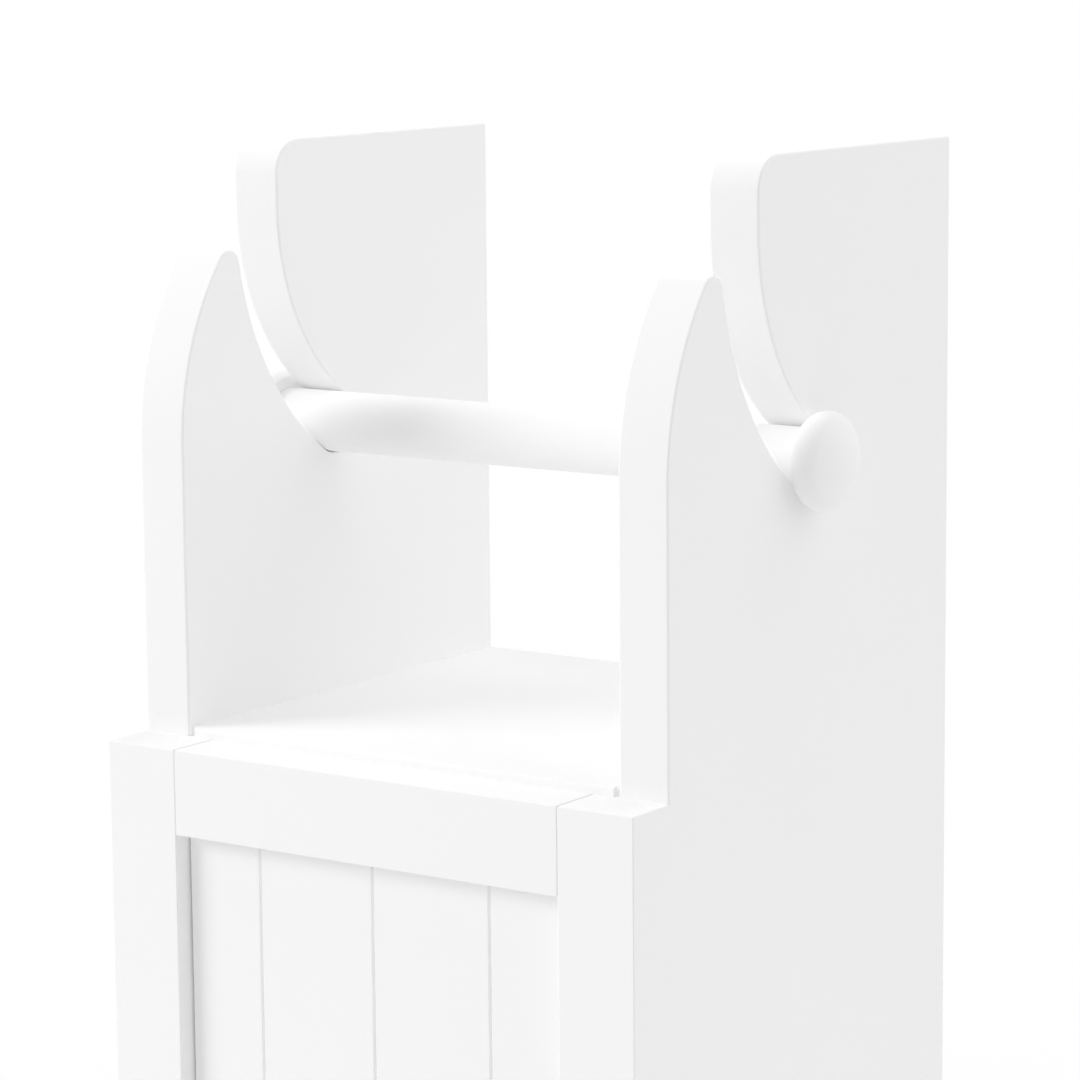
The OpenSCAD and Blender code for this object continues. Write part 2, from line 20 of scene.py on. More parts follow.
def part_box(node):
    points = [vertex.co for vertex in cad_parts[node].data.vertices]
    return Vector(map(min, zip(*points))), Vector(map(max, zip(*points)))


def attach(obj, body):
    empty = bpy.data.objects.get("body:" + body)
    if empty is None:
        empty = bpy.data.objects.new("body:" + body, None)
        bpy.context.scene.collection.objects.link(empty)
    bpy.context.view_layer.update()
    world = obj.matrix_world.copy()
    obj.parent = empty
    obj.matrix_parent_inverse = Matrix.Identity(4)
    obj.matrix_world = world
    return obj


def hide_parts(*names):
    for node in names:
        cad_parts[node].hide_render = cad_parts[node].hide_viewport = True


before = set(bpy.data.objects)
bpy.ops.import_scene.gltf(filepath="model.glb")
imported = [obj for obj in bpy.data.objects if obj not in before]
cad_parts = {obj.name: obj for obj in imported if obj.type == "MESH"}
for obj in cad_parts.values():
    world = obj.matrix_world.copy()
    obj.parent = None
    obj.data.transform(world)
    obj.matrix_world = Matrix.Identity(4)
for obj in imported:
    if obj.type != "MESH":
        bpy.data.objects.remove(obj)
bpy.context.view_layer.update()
MM = 0.001

# %% [markdown]
# ## Places to measure from
#
# A joiner measures from one face and one line. Here the face is the front of the face
# frame, with depths counted back from it, and the line is the frame's top, with heights
# counted up from it. Both are read from the frame's own boards, so nothing is guessed.

# %% The two reference planes
stile_low, stile_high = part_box("right_stile")
panel_low, panel_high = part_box("right_side_panel")
shelf_low, shelf_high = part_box("shelf_board")
FRONT = stile_low.y / MM
RAIL_TOP = stile_high.z / MM


def at(x, depth, height):
    """A point in metres, from mm: depth behind the frame's front, height above its top."""
    return Vector((x, FRONT + depth, RAIL_TOP + height)) * MM


print("frame's front at y", round(FRONT, 2), "mm, its top at z", round(RAIL_TOP, 2), "mm")

# %% [markdown]
# ## A few hand tools
#
# Everything below is done with Blender's own operators, the ones behind its menus. They
# act on whatever is selected, so each piece starts with nothing selected, and then its
# edges or faces are picked in code, by where they lie or which way they face.


# %% Starting, picking and ending a piece
def clear_bench():
    """Leaves edit mode and selects nothing."""
    if bpy.context.mode != "OBJECT":
        bpy.ops.object.mode_set(mode="OBJECT")
    bpy.ops.object.select_all(action="DESELECT")


def take(piece):
    """Makes this the one selected and active object."""
    clear_bench()
    piece.select_set(True)
    bpy.context.view_layer.objects.active = piece


def pick(kind, test):
    """In edit mode, selects the vertices, edges or faces that pass the test, and no others."""
    bpy.ops.mesh.select_mode(type=kind)
    bpy.ops.mesh.select_all(action="DESELECT")
    mesh = bmesh.from_edit_mesh(bpy.context.object.data)
    mesh.normal_update()
    parts = {"VERT": mesh.verts, "EDGE": mesh.edges, "FACE": mesh.faces}[kind]
    chosen = [part for part in parts if test(part)]
    for part in chosen:
        part.select_set(True)
    bmesh.update_edit_mesh(bpy.context.object.data)
    return len(chosen)


def middle(part):
    """The middle of an edge or face in millimetres."""
    return sum((v.co for v in part.verts), Vector()) / len(part.verts) / MM


print("tools ready: clear_bench, take, pick, middle")

# %% Rounding edges
ARRIS_ANGLE = 30
LONG = 0.1
NEAR = 0.01


def is_arris(edge):
    """True where two faces meet at a real corner, such as along a board's edge."""
    return edge.is_manifold and edge.calc_face_angle(0) > math.radians(ARRIS_ANGLE)


def is_long(edge):
    """True for an edge that runs along a board, and not across its end."""
    return edge.calc_length() > LONG


def same(one, other):
    """True for two measures in millimetres that differ by rounding alone."""
    return abs(one - other) < NEAR


def ease(piece, width, test, segments=3):
    """Rounds the arrises that pass the test to a radius of width millimetres."""
    take(piece)
    bpy.ops.object.mode_set(mode="EDIT")
    count = pick("EDGE", lambda edge: is_arris(edge) and test(edge))
    bpy.ops.mesh.bevel(offset=width * MM, segments=segments, affect="EDGES", clamp_overlap=False)
    bpy.ops.object.mode_set(mode="OBJECT")
    print(piece.name, "edges eased:", count)


print("tools ready: is_arris, is_long, same, ease")

# %% [markdown]
# A board is cut from a blank. The blank is a cube of one metre at first, scaled to the
# board's corners, and the scale is applied at once, so that later roundings are even.
# A cutter runs 1 mm past the face that it opens, so that the cut comes out clean.

# %% Blanks, cuts and holes
PAST = 1


def blank(name, low, high):
    """A board's square blank between two corners in metres."""
    clear_bench()
    bpy.ops.mesh.primitive_cube_add(size=1, location=(low + high) / 2)
    board = bpy.context.object
    board.name = board.data.name = name
    board.scale = high - low
    bpy.ops.object.transform_apply(location=True, rotation=True, scale=True)
    return board


def rod(start, along, radius, length, sides=32):
    """A round bar in metres from a point, along a direction, to be used as a cutter."""
    along = Vector(along).normalized()
    clear_bench()
    bpy.ops.mesh.primitive_cylinder_add(
        vertices=sides, radius=radius * MM, depth=length * MM,
        location=start + along * length / 2 * MM,
        rotation=along.to_track_quat("Z", "Y").to_euler())
    bpy.ops.object.transform_apply(location=True, rotation=True, scale=True)
    return bpy.context.object


def hole(mouth, along, radius, depth):
    """The cutter for a hole of this radius and depth, from the middle of its mouth."""
    along = Vector(along).normalized()
    return rod(mouth - along * PAST * MM, along, radius, depth + PAST)


def joined(pieces):
    """The first of the pieces, with all the others joined to it."""
    take(pieces[0])
    for piece in pieces:
        piece.select_set(True)
    if len(pieces) > 1:
        bpy.ops.object.join()
    return pieces[0]


def cut(piece, cutters):
    """Takes the cutters away from the piece with one boolean, and throws them away."""
    cutter = joined(cutters)
    take(piece)
    boolean = piece.modifiers.new("cut", "BOOLEAN")
    boolean.object, boolean.operation, boolean.solver = cutter, "DIFFERENCE", "EXACT"
    bpy.ops.object.modifier_apply(modifier=boolean.name)
    bpy.data.objects.remove(cutter)


def mirrored(piece, name):
    """A copy of the piece for the cabinet's other side."""
    take(piece)
    bpy.ops.object.duplicate()
    copy = bpy.context.object
    copy.name = copy.data.name = name
    bpy.ops.object.mode_set(mode="EDIT")
    bpy.ops.mesh.select_all(action="SELECT")
    bpy.ops.transform.resize(value=(-1, 1, 1), center_override=(0, 0, 0))
    bpy.ops.mesh.flip_normals()
    bpy.ops.object.mode_set(mode="OBJECT")
    return copy


print("tools ready: blank, rod, hole, joined, cut, mirrored")

# %% [markdown]
# Shapes with curves are drawn first, as a joiner draws round a template. The pencil is
# a single vertex. Extruding it leaves a straight line behind, and spinning it about a
# centre leaves an arc. The same pencil draws the profiles that a lathe follows.


# %% A pencil: lines by extrude, arcs by spin
def set_pencil(name, place):
    """One lone vertex in edit mode, at a place in metres."""
    clear_bench()
    bpy.ops.mesh.primitive_plane_add(size=MM, location=(0, 0, 0))
    drawing = bpy.context.object
    drawing.name = drawing.data.name = name
    bpy.ops.object.mode_set(mode="EDIT")
    bpy.ops.mesh.select_mode(type="VERT")
    bpy.ops.mesh.select_all(action="SELECT")
    bpy.ops.mesh.merge(type="CENTER")
    bpy.ops.transform.translate(value=place)
    return drawing


def line(step):
    """Draws a straight line from the last point, by a step in millimetres."""
    bpy.ops.mesh.extrude_region_move(TRANSFORM_OT_translate={"value": [side * MM for side in step]})


def arc(centre, turn, axis=(1, 0, 0), step=3):
    """Draws an arc of turn degrees, anticlockwise seen against the axis, a step at a time."""
    steps = max(4, round(abs(turn) / step))
    bpy.ops.mesh.spin(steps=steps, angle=-math.radians(turn), center=centre, axis=axis)


def bearing(centre, point):
    """The direction from one flat point to another, in degrees."""
    return math.degrees(math.atan2(point[1] - centre[1], point[0] - centre[0]))


def pull(step):
    """Closes the drawn outline and pulls it to a board, by a step in millimetres."""
    bpy.ops.mesh.select_all(action="SELECT")
    bpy.ops.mesh.edge_face_add()
    line(step)
    bpy.ops.mesh.select_all(action="SELECT")
    bpy.ops.mesh.normals_make_consistent(inside=False)
    bpy.ops.object.mode_set(mode="OBJECT")


print("tools ready: set_pencil, line, arc, bearing, pull")

# %% [markdown]
# A finished piece is shaded smooth wherever its faces meet at a shallow angle, and its
# normals are weighted by area. That keeps broad faces flat and lets the small rounded
# edges catch the light. It then rides on a body of the frame and stands for its node.

# %% Hand a finished piece over to the frame
SMOOTH_ANGLE = 35


def hand_over(piece, body, node):
    """Shades the piece, puts it on its body and hides the node that it stands for."""
    take(piece)
    bpy.ops.object.shade_smooth_by_angle(angle=math.radians(SMOOTH_ANGLE))
    piece.modifiers.new("even", "WEIGHTED_NORMAL").keep_sharp = True
    bpy.ops.object.modifier_apply(modifier="even")
    clear_bench()
    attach(piece, body)
    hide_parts(node)
    size = [round(side / MM, 1) for side in piece.dimensions]
    print(piece.name, "on", body, "mm:", size, "faces:", len(piece.data.polygons))
    return piece


# %% [markdown]
# ## The side panels
#
# Each panel is 17.5 mm board, cut with a router along a template. From the front it goes
# straight up, bends back in one long arc to the tip of the horn, turns round the tip,
# and runs down the slot. The slot's two edges are arcs about one centre, so the roller
# keeps its play all the way to the round seat. Behind the slot the wing goes up to a
# rounded corner, along the level top and down the back.
#
# A boolean with cylinders would also work, but it leaves uneven points along the curves.
# Drawing the outline puts them evenly, and the edge rounding needs that.

# %% The template's numbers, in mm behind the frame's front and above its top
BROW, BROW_R = Vector((111.1, 92.75)), 92.1
SLOT, SLOT_R, SLOT_W, SLOT_TURN = Vector((145.5, 165.5)), 87, 20.8, 56.8
TIP_R, WING_CORNER_R = 5.3, 11
PANEL_FRONT, PANEL_EASE = 19, 0.8
PANEL_BACK = (panel_high.y / MM) - FRONT
WING_TOP = panel_high.z / MM - RAIL_TOP
PANEL_FOOT = panel_low.z / MM - RAIL_TOP
INNER_X, OUTER_X = panel_low.x / MM, panel_high.x / MM


def ray(degrees):
    """A flat step of length 1 in this direction."""
    return Vector((math.cos(math.radians(degrees)), math.sin(math.radians(degrees))))


def tip_centre():
    """Where the tip's circle touches the brow from inside and the slot from outside."""
    inside, outside = BROW_R - TIP_R, SLOT_R + SLOT_W / 2 + TIP_R
    span = SLOT - BROW
    along = (inside ** 2 - outside ** 2 + span.length ** 2) / (2 * span.length)
    across = math.sqrt(inside ** 2 - along ** 2)
    unit = span.normalized()
    return BROW + along * unit + across * Vector((-unit.y, unit.x))


TIP = tip_centre()
SEAT = SLOT + SLOT_R * ray(180 + SLOT_TURN)
print("horn's tip, mm:", [round(c, 2) for c in TIP], "roller's seat:", [round(c, 2) for c in SEAT])


# %% Draw the outline and pull it to a board
def side_panel_blank(name):
    """The right-hand panel's board, before its holes."""
    x = INNER_X

    def centre(point):
        return at(x, *point)

    panel = set_pencil(name, at(x, PANEL_FRONT, PANEL_FOOT))
    line((0, 0, -PANEL_EASE - PANEL_FOOT))
    line((0, 0, PANEL_EASE))
    line((0, 0, BROW.y))
    arc(centre(BROW), bearing(BROW, TIP) - 180)
    arc(centre(TIP), bearing(TIP, SLOT) - bearing(BROW, TIP), step=8)
    arc(centre(SLOT), 180 + SLOT_TURN - bearing(SLOT, TIP) % 360)
    arc(centre(SEAT), 180, step=7.5)
    arc(centre(SLOT), -SLOT_TURN)
    wing_x = SLOT.x - SLOT_R + SLOT_W / 2
    line((0, 0, WING_TOP - WING_CORNER_R - SLOT.y))
    arc(centre((wing_x + WING_CORNER_R, WING_TOP - WING_CORNER_R)), -90, step=7.5)
    line((0, PANEL_BACK - wing_x - WING_CORNER_R, 0))
    line((0, 0, PANEL_FOOT - WING_TOP))
    pull((OUTER_X - INNER_X, 0, 0))
    return panel


right_panel = side_panel_blank("right_side_panel_painted")
print("points on the outline:", len(right_panel.data.vertices) // 2)

# %% [markdown]
# The router's edges are sanded to a radius of just under a millimetre. Only the edge
# behind the stile stays square: it is glued and painted over, and no joint shows there.
# The rounding needs a short stretch of that edge to run out on, so the outline has one
# more point a little below the frame's top.


# %% Ease the edges, all but those behind the stile
def behind_the_stile(edge):
    spot = middle(edge)
    return same(spot.y, FRONT + PANEL_FRONT) and spot.z < RAIL_TOP + NEAR


ease(right_panel, PANEL_EASE, lambda edge: not behind_the_stile(edge))

# %% [markdown]
# The back panel sits in a rebate, and dowels, cam bolts, screws and the glides' nails
# have their holes. They are hidden once the cabinet stands, but each board is a real
# part on its own, so they are cut. The left panel is a mirrored copy, made before the
# holes for the catch, which only the left one has. A hole is a little wider and deeper
# than the dowel or screw in it. A thin dowel sits in its stile and stands out of it.

# %% What goes into the holes: radii, lengths and places in mm
FIT, END_PLAY = 0.03, 0.5
DOWEL_R, DOWEL_IN_SIDE, DOWEL_IN_BOARD, DOWELS_BACK = 4, 11, 19, (46, 150)
BOLT_R, BOLT_IN_SIDE, CAM_BACK = 2.5, 11, 98
THIN_DOWEL_R, THIN_DOWEL_IN, THIN_DOWEL_OUT = 3, 12, 18
STILE_DOWEL_Z = (60, 180, 300, 420)
BACK_SCREW_R, BACK_SCREW_L, BACK_SCREW_Z = 1.5, 12, (40, 145, 250, 355, 440)
NAIL_R, NAIL_L, GLIDES_BACK = 1.2, 12, (30, 165)
BOARD_T = 17.5
BOARD_MIDS = [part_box(board)[0].z / MM + BOARD_T / 2 - RAIL_TOP
              for board in ("shelf_board", "bottom_board")]


def bore(mouth, along, radius, length):
    """The cutter for the hole of a dowel or screw with this radius and length."""
    return hole(mouth, along, radius + FIT, length + END_PLAY)


print("the boards' middles, mm below the frame's top:", [round(-mid, 2) for mid in BOARD_MIDS])

# %% The rebate and the holes that both panels have
REBATE_TOP, REBATE_D, REBATE_W = -2.2, 3.2, 9
BACK_SCREW_IN = BACK_SCREW_L - REBATE_D
panel_mid_x = (INNER_X + OUTER_X) / 2

cutters = [blank("rebate", at(INNER_X - PAST, PANEL_BACK - REBATE_D, PANEL_FOOT - PAST),
                 at(INNER_X + REBATE_W, PANEL_BACK + PAST, REBATE_TOP))]
for mid in BOARD_MIDS:
    for depth in DOWELS_BACK:
        cutters.append(bore(at(INNER_X, depth, mid), (1, 0, 0), DOWEL_R, DOWEL_IN_SIDE))
    cutters.append(bore(at(INNER_X, CAM_BACK, mid), (1, 0, 0), BOLT_R, BOLT_IN_SIDE))
for z in STILE_DOWEL_Z:
    cutters.append(bore(at(panel_mid_x, PANEL_FRONT, z - RAIL_TOP), (0, 1, 0),
                        THIN_DOWEL_R, THIN_DOWEL_OUT))
for z in BACK_SCREW_Z:
    cutters.append(bore(at(INNER_X + REBATE_W / 2, PANEL_BACK - REBATE_D, z - RAIL_TOP),
                        (0, -1, 0), BACK_SCREW_R, BACK_SCREW_IN))
for depth in GLIDES_BACK:
    cutters.append(bore(at(panel_mid_x, depth, PANEL_FOOT), (0, 0, 1), NAIL_R, NAIL_L))
print("cuts in each panel:", len(cutters))
cut(right_panel, cutters)

# %% Mirror the panel for the left side
CATCH_SCREW_R, CATCH_SCREW_IN, CATCH_HEAD_R = 1.5, 10, 2.8
left_panel = mirrored(right_panel, "left_side_panel_painted")
screws_low, screws_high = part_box("catch_screws")
catch_screw_y = (screws_low.y + screws_high.y) / 2
CATCH_SCREW_Z = [screws_low.z + CATCH_HEAD_R * MM, screws_high.z - CATCH_HEAD_R * MM]
cut(left_panel, [bore(Vector((-INNER_X * MM, catch_screw_y, z)), (-1, 0, 0),
                      CATCH_SCREW_R, CATCH_SCREW_IN) for z in CATCH_SCREW_Z])
print("left panel's box:", [round(c / MM, 1) for c in left_panel.dimensions])

hand_over(right_panel, "carcass", "right_side_panel")
hand_over(left_panel, "carcass", "left_side_panel")

# %% [markdown]
# ## The face frame
#
# Two stiles and two rails, all 19 mm thick, stand in front of the side panels. The rails
# are dowelled between the stiles, so a hairline joint shows on the front and on top.
# The rails' ends get a finer rounding than the other edges, and they stop a hair short
# of the stiles. The edges at the back stay square, because the stiles meet the side
# panels there and no joint shows.

# %% The stiles
STILE_X = stile_low.x / MM
FRAME_T, FRAME_EASE = PANEL_FRONT, 0.5
RAIL_MIDS = [sum(corner.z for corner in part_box(node)) / 2 / MM - RAIL_TOP
             for node in ("top_rail", "bottom_rail")]


def on_back(edge):
    """True for the edges round the back of a frame board, which stay square."""
    return same(middle(edge).y, FRONT + FRAME_T)


right_stile = blank("right_stile_painted", stile_low, stile_high)
ease(right_stile, FRAME_EASE, lambda edge: not on_back(edge))
cut(right_stile,
    [bore(at(panel_mid_x, FRAME_T, z - RAIL_TOP), (0, -1, 0), THIN_DOWEL_R, THIN_DOWEL_IN)
     for z in STILE_DOWEL_Z]
    + [bore(at(STILE_X, FRAME_T / 2, mid), (1, 0, 0), THIN_DOWEL_R, THIN_DOWEL_IN)
       for mid in RAIL_MIDS])
left_stile = mirrored(right_stile, "left_stile_painted")

# %% The hinges' screw holes in the right stile
LEAF_HALF, LEAF_SCREW_R, LEAF_SCREW_IN_STILE = 20, 1.4, 11.5
LEAF_SCREWS_UP = (-13 * MM, 13 * MM)
hinge_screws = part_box("hinge_frame_screws")
hinge_low, hinge_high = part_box("hinge_frame_leaves")
HINGE_Z = [hinge_low.z + LEAF_HALF * MM, hinge_high.z - LEAF_HALF * MM]
SCREW_Y = (hinge_screws[0].y + hinge_screws[1].y) / 2
cut(right_stile, [bore(Vector((stile_low.x, SCREW_Y, z + up)), (1, 0, 0),
                       LEAF_SCREW_R, LEAF_SCREW_IN_STILE)
                  for z in HINGE_Z for up in LEAF_SCREWS_UP])
hand_over(right_stile, "carcass", "right_stile")
hand_over(left_stile, "carcass", "left_stile")

# %% The rails, with finer edges at their ends
HAIRLINE, RAIL_END_EASE = 0.08, 0.35


def rail(name, node):
    """A rail, from its blank to its place between the stiles."""
    low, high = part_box(node)
    low.x += HAIRLINE * MM
    high.x -= HAIRLINE * MM
    board = blank(name, low, high)

    def at_an_end(edge):
        return same(abs(middle(edge).x), high.x / MM)

    ease(board, RAIL_END_EASE, lambda edge: at_an_end(edge) and not on_back(edge), segments=2)
    ease(board, FRAME_EASE,
         lambda edge: is_long(edge) and not at_an_end(edge) and not on_back(edge))
    mid = (low + high) / 2
    cut(board, [bore(Vector((side * high.x, mid.y, mid.z)), (-side, 0, 0),
                     THIN_DOWEL_R, THIN_DOWEL_OUT) for side in (-1, 1)])
    return hand_over(board, "carcass", node)


top_rail = rail("top_rail_painted", "top_rail")
bottom_rail = rail("bottom_rail_painted", "bottom_rail")

# %% [markdown]
# ## The shelf and the bottom board
#
# The shelf stands 2.8 mm proud of the face frame, and its front edge is rounded where a
# hand or a roll slides over it. Beside each side panel the rounding stops short, which
# leaves the small dark nick that the cabinet shows in its front corners. Cam nuts are
# let in from below.

# %% What both boards have: a rounded front edge and the fittings at their ends
CAM_IN, CAM_POCKET_R, CAM_POCKET_H, BOLT_HEAD_BORE_R = 24, 7.5, 12.4, 3.5
BACK_SCREW_X = (-40, 40)


def ease_front(board, high, radius, segments=3):
    """Rounds the upper front edge of a board, whose highest corner is given in metres."""
    ease(board, radius, lambda edge: same(middle(edge).y, FRONT + PANEL_FRONT)
         and same(middle(edge).z, high.z / MM), segments)


def end_cutters(mid):
    """Dowel holes, cam bolt bores and cam nut pockets at both ends."""
    found = []
    for side in (-1, 1):
        end, inwards = side * INNER_X, (-side, 0, 0)
        for depth in DOWELS_BACK:
            found.append(bore(at(end, depth, mid), inwards, DOWEL_R, DOWEL_IN_BOARD))
        found.append(hole(at(end, CAM_BACK, mid), inwards, BOLT_HEAD_BORE_R, CAM_IN))
        found.append(hole(at(end - side * CAM_IN, CAM_BACK, mid - BOARD_T / 2), (0, 0, 1),
                          CAM_POCKET_R, CAM_POCKET_H))
    return found


def back_screw_holes(height):
    """The two holes for the back panel's screws in a board's rear edge."""
    return [bore(at(x, PANEL_BACK - REBATE_D, height), (0, -1, 0), BACK_SCREW_R, BACK_SCREW_IN)
            for x in BACK_SCREW_X]


print("ready: ease_front, end_cutters, back_screw_holes")

# %% The shelf
SHELF_EASE, BELOW_SHELF = 1.2, -20
NICK_W, NICK_D, NICK_TOP = 2.2, 1.5, 4
shelf = blank("shelf_board_painted", shelf_low, shelf_high)
ease_front(shelf, shelf_high, SHELF_EASE, segments=4)
shelf_cutters = end_cutters(BOARD_MIDS[0])
shelf_cutters.append(blank("rebate", at(-OUTER_X, PANEL_BACK - REBATE_D, BELOW_SHELF),
                           at(OUTER_X, PANEL_BACK + PAST, REBATE_TOP)))
for side in (-1, 1):
    near, far = sorted((side * (INNER_X - NICK_W), side * (INNER_X + PAST)))
    shelf_cutters.append(blank("nick", at(near, PANEL_FRONT - PAST, 0),
                               at(far, PANEL_FRONT + NICK_D, NICK_TOP)))
cut(shelf, shelf_cutters + back_screw_holes(BOARD_MIDS[0] - BOARD_T / 6))
hand_over(shelf, "carcass", "shelf_board")

# %% The bottom board
BOTTOM_EASE = 0.4
bottom_low, bottom_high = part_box("bottom_board")
bottom_board = blank("bottom_board_painted", bottom_low, bottom_high)
ease_front(bottom_board, bottom_high, BOTTOM_EASE)
cut(bottom_board, end_cutters(BOARD_MIDS[1]) + back_screw_holes(BOARD_MIDS[1]))
hand_over(bottom_board, "carcass", "bottom_board")

# %% [markdown]
# ## The door
#
# The door is one panel with three narrow grooves down its face, so that it looks like
# matchboards. Its plan is drawn with the pencil, grooves and all, and pulled up to its
# height. A groove made so runs out cleanly at the top and the bottom. The free edge, on
# the left, is bevelled: the gap in front stays narrow, and the rear corner still clears
# the stile as the door swings.

# %% Draw the door's plan and pull it up
door_low, door_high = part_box("door_panel")
GROOVE_PITCH, GROOVE_W, GROOVE_D = 44, 1, 1.3
GROOVE_X = [groove * GROOVE_PITCH for groove in (-1, 0, 1)]
BEVEL = 0.8
knob_low, knob_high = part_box("door_knob")
knob_mid = (knob_low + knob_high) / 2

door = set_pencil("door_panel_painted", door_low)
drawn_to = door_low.x / MM
for x in GROOVE_X:
    left = x - GROOVE_W / 2
    line((left - drawn_to, 0, 0))
    line((GROOVE_W / 4, GROOVE_D, 0))
    line((GROOVE_W / 2, 0, 0))
    line((GROOVE_W / 4, -GROOVE_D, 0))
    drawn_to = left + GROOVE_W
door_w, door_t, door_h = (door_high - door_low) / MM
line((door_high.x / MM - drawn_to, 0, 0))
line((0, door_t, 0))
line((BEVEL - door_w, 0, 0))
pull((0, 0, door_h))
print("door's plan, points:", len(door.data.vertices) // 2)

# %% Round the door's edges
GROOVE_EASE, DOOR_EASE, DOOR_END_EASE = 0.25, 0.6, 0.4
DOOR_FACE, DOOR_SIDE = door_low.y / MM, 70


def at_a_groove(edge):
    """True for a groove's own edges and its outline on the door's ends."""
    spot = middle(edge)
    return min(abs(spot.x - x) for x in GROOVE_X) < GROOVE_W and spot.y < DOOR_FACE + 2 * GROOVE_D


def on_door_face(edge):
    return same(middle(edge).y, DOOR_FACE)


def at_door_side(edge):
    return abs(middle(edge).x) > DOOR_SIDE


ease(door, GROOVE_EASE, lambda edge: at_a_groove(edge) and on_door_face(edge) and is_long(edge),
     segments=2)
ease(door, DOOR_EASE, lambda edge: at_door_side(edge) and is_long(edge))
ease(door, DOOR_END_EASE, lambda edge: on_door_face(edge) and not at_door_side(edge)
     and not at_a_groove(edge))

# %% The door's holes and the beds for its hinge leaves
LEAF_T, BED_PLAY, LEAF_SCREW_IN_DOOR = 0.8, 0.1, 11
KNOB_SCREW_R, KNOB_HOLE_DEPTH = 2, 18
STRIKE_SCREW_R, STRIKE_SCREW_IN = 1.3, 8.5
leaves_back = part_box("hinge_door_leaves")[1].y
strike_low, strike_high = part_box("strike_plate")
strike_mid = (strike_low + strike_high) / 2
leaf_x = door_high.x - LEAF_T * MM
bed_front, bed_back = door_low.y - PAST * MM, leaves_back + BED_PLAY * MM
bed_half = (LEAF_HALF + BED_PLAY) * MM
door_cutters = [hole(Vector((knob_mid.x, door_low.y, knob_mid.z)), (0, 1, 0),
                     KNOB_SCREW_R + FIT, KNOB_HOLE_DEPTH),
                bore(Vector((strike_mid.x, door_high.y, strike_mid.z)), (0, -1, 0),
                     STRIKE_SCREW_R, STRIKE_SCREW_IN)]
for z in HINGE_Z:
    door_cutters.append(blank("bed", Vector((leaf_x - FIT * MM, bed_front, z - bed_half)),
                              Vector((door_high.x + PAST * MM, bed_back, z + bed_half))))
cut(door, door_cutters)
cut(door, [bore(Vector((leaf_x, SCREW_Y, z + up)), (-1, 0, 0), LEAF_SCREW_R, LEAF_SCREW_IN_DOOR)
           for z in HINGE_Z for up in LEAF_SCREWS_UP])
hand_over(door, "door", "door_panel")

# %% [markdown]
# ## Turned pieces
#
# The knobs are turned on a lathe. The pencil draws half of the profile, out from the
# centre line and back to it, and a full spin about that line makes the piece. The ends
# on the centre line are merged to one point, and the outside is made to face out.


# %% A lathe
def turn_on_lathe(piece, centre, axis, sides=64):
    """Spins the drawn profile once round, closes it and faces it outwards."""
    bpy.ops.mesh.select_all(action="SELECT")
    bpy.ops.mesh.spin(steps=sides, angle=2 * math.pi, center=centre, axis=axis)
    bpy.ops.mesh.select_all(action="SELECT")
    bpy.ops.mesh.remove_doubles(threshold=1e-6)
    bpy.ops.mesh.normals_make_consistent(inside=False)
    bpy.ops.object.mode_set(mode="OBJECT")
    print(piece.name, "turned, faces:", len(piece.data.polygons))


def dome_radius(radius, shoulder_r, drop):
    """The dome that runs on from a shoulder and ends drop millimetres beyond its centre."""
    reach = radius - shoulder_r
    return (reach ** 2 + drop ** 2 - shoulder_r ** 2) / (2 * (drop - shoulder_r))


# %% The roller's knobs
cap_low, cap_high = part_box("roller_right_knob")
cap_r = (cap_high.z - cap_low.z) / 2 / MM
cap_x, cap_t = cap_low.x / MM, (cap_high.x - cap_low.x) / MM
axle = Vector((0, (cap_low.y + cap_high.y) / 2, (cap_low.z + cap_high.z) / 2))


def on_axle(x, radius=0.0):
    """A point in metres in front of the roller's axis, from millimetres."""
    return Vector((x * MM, axle.y - radius * MM, axle.z))


SHOULDER_R, SHOULDER_H = 5.5, 4
END_BORE_R, END_BORE_IN_KNOB, END_BORE_IN_BAR = 2.55, 6.5, 22.5
dome_r = dome_radius(cap_r, SHOULDER_R, cap_t - SHOULDER_H)
shoulder = Vector((cap_x + SHOULDER_H, cap_r - SHOULDER_R))
dome = Vector((cap_x + cap_t - dome_r, 0))
foot = Vector((cap_x, shoulder.y + math.sqrt(SHOULDER_R ** 2 - SHOULDER_H ** 2)))
dome_turn = bearing(dome, shoulder)

right_knob = set_pencil("roller_right_knob_painted", on_axle(cap_x))
line((0, -foot.y, 0))
arc(on_axle(*shoulder), bearing(shoulder, foot) - dome_turn, axis=(0, 0, 1), step=6)
arc(on_axle(*dome), dome_turn, axis=(0, 0, 1), step=4)
turn_on_lathe(right_knob, on_axle(0), (1, 0, 0), sides=96)
cut(right_knob, [hole(on_axle(cap_x), (1, 0, 0), END_BORE_R, END_BORE_IN_KNOB)])
left_knob = mirrored(right_knob, "roller_left_knob_painted")
print("dome's radius:", round(dome_r, 1), "mm, over", round(2 * dome_turn), "degrees")
hand_over(right_knob, "roller", "roller_right_knob")
hand_over(left_knob, "roller", "roller_left_knob")

# %% The roller's bar
BAR_R, BAR_EASE = 10, 0.4
bar = rod(on_axle(-cap_x), (1, 0, 0), BAR_R, 2 * cap_x, sides=96)
bar.name = bar.data.name = "roller_bar_painted"
ease(bar, BAR_EASE, lambda edge: same(abs(middle(edge).x), cap_x), segments=2)
cut(bar, [hole(on_axle(side * cap_x), (-side, 0, 0), END_BORE_R, END_BORE_IN_BAR)
          for side in (-1, 1)])
hand_over(bar, "roller", "roller_bar")

# %% [markdown]
# The door's knob has a foot, a hollow neck, a round rim and a flatter dome. The neck's
# circle touches the rim's from outside, and the dome's touches it from inside, so the
# profile runs on without a corner.

